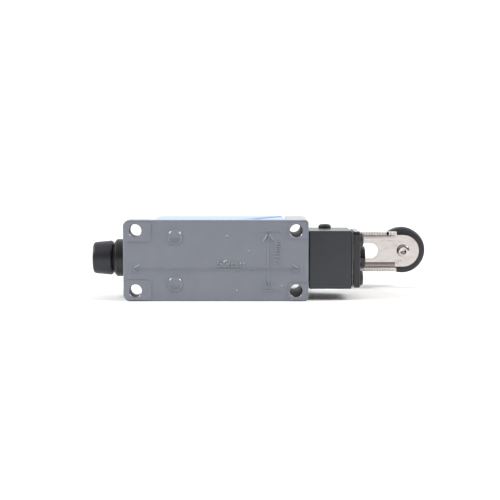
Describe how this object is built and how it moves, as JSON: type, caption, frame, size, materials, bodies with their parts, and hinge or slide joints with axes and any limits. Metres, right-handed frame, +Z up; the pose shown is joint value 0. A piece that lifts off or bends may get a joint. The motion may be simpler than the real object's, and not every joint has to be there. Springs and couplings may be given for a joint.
{
  "type": "limit switch",
  "caption": "Limit switch in a flat die-cast case with a screwed cable gland, a rotary head and a slotted channel lever that swings, slides in its clamp and carries a free roller.",
  "frame": {"origin": "centre of the four mounting holes, on the back face of the case", "axes": "+X along the case from the cable gland to the roller, -Y out of the back face, +Y towards the cover and the lever, +Z up when the switch lies on its long side"},
  "size_m": [0.1229, 0.0502, 0.0284],
  "materials": {
    "painted_zinc": "fine satin grey paint on die-cast zinc",
    "cover_enamel": "pale blue enamel",
    "label_foil": "printed foil, no text",
    "black_nylon": "moulded",
    "cap_plastic": "smooth moulded",
    "roller_nylon": "turned nylon",
    "black_rubber": "moulded",
    "gasket_fibre": "pale fibre",
    "black_screw": "blackened steel",
    "screw_steel": "zinc plated",
    "nickel_steel": "nickel plated",
    "zinc_casting": "bare die casting",
    "brass": "plain",
    "contact_moulding": "thermoset moulding"
  },
  "bodies": {
    "case": {"body_casting": "painted_zinc", "front_cover": "cover_enamel", "cover_label": "label_foil", "cover_gasket": "black_rubber", "cover_screw_1": "screw_steel", "cover_screw_2": "screw_steel", "cover_screw_3": "screw_steel", "cover_screw_4": "screw_steel", "gland_body": "black_nylon", "gland_oring": "black_rubber", "gland_seal": "black_rubber", "gland_cap": "black_nylon", "head_housing": "black_nylon", "head_gasket": "black_rubber", "cap_gasket": "gasket_fibre", "head_cap": "cap_plastic", "head_screw_1": "black_screw", "head_screw_2": "black_screw", "head_screw_3": "black_screw", "head_screw_4": "black_screw", "head_side_screw": "black_screw", "shaft_bush": "brass", "shaft_seal": "black_rubber", "plunger_seal": "black_rubber", "return_spring": "nickel_steel", "switch_base": "contact_moulding", "no_terminal_1": "brass", "no_terminal_2": "brass", "nc_terminal_1": "brass", "nc_terminal_2": "brass", "terminal_screw_1": "screw_steel", "terminal_screw_2": "screw_steel", "terminal_screw_3": "screw_steel", "terminal_screw_4": "screw_steel", "switch_screw_1": "screw_steel", "switch_screw_2": "screw_steel", "contact_spring": "nickel_steel"},
    "hub": {"operating_shaft": "nickel_steel", "lever_hub": "zinc_casting", "hub_set_screw": "screw_steel", "clamp_bolt": "screw_steel", "clamp_washer": "screw_steel", "lock_washer": "screw_steel"},
    "arm": {"lever_arm": "nickel_steel", "roller_rivet": "nickel_steel", "roller_washer": "nickel_steel"},
    "roller": {"roller": "roller_nylon"},
    "plunger": {"plunger": "nickel_steel"},
    "carriage": {"contact_carriage": "contact_moulding", "contact_bridge": "brass"}
  },
  "joints": [
    {"name": "lever_swing", "type": "hinge", "parent": "case", "child": "hub", "pos_m": [0.0399, 0.03, 0], "axis": [0, 1, 0], "range_deg": [-75, 75], "stiffness_Nm_per_rad": 0.25},
    {"name": "lever_extend", "type": "slide", "parent": "hub", "child": "arm", "axis": [1, 0, 0], "range_m": [-0.012, 0.019]},
    {"name": "roller_spin", "type": "hinge", "parent": "arm", "child": "roller", "pos_m": [0.0703, 0.0452, 0], "axis": [0, 1, 0], "continuous": true},
    {"name": "plunger_slide", "type": "slide", "parent": "case", "child": "plunger", "axis": [-1, 0, 0], "range_m": [0, 0.0013], "stiffness_N_per_m": 800, "deforming": ["return_spring"]},
    {"name": "carriage_slide", "type": "slide", "parent": "case", "child": "carriage", "axis": [-1, 0, 0], "range_m": [0, 0.0013], "stiffness_N_per_m": 300, "deforming": ["contact_spring"]}
  ],
  "couplings": [
    {"joint": "carriage_slide", "follows": "plunger_slide", "ratio": 1}
  ]
}
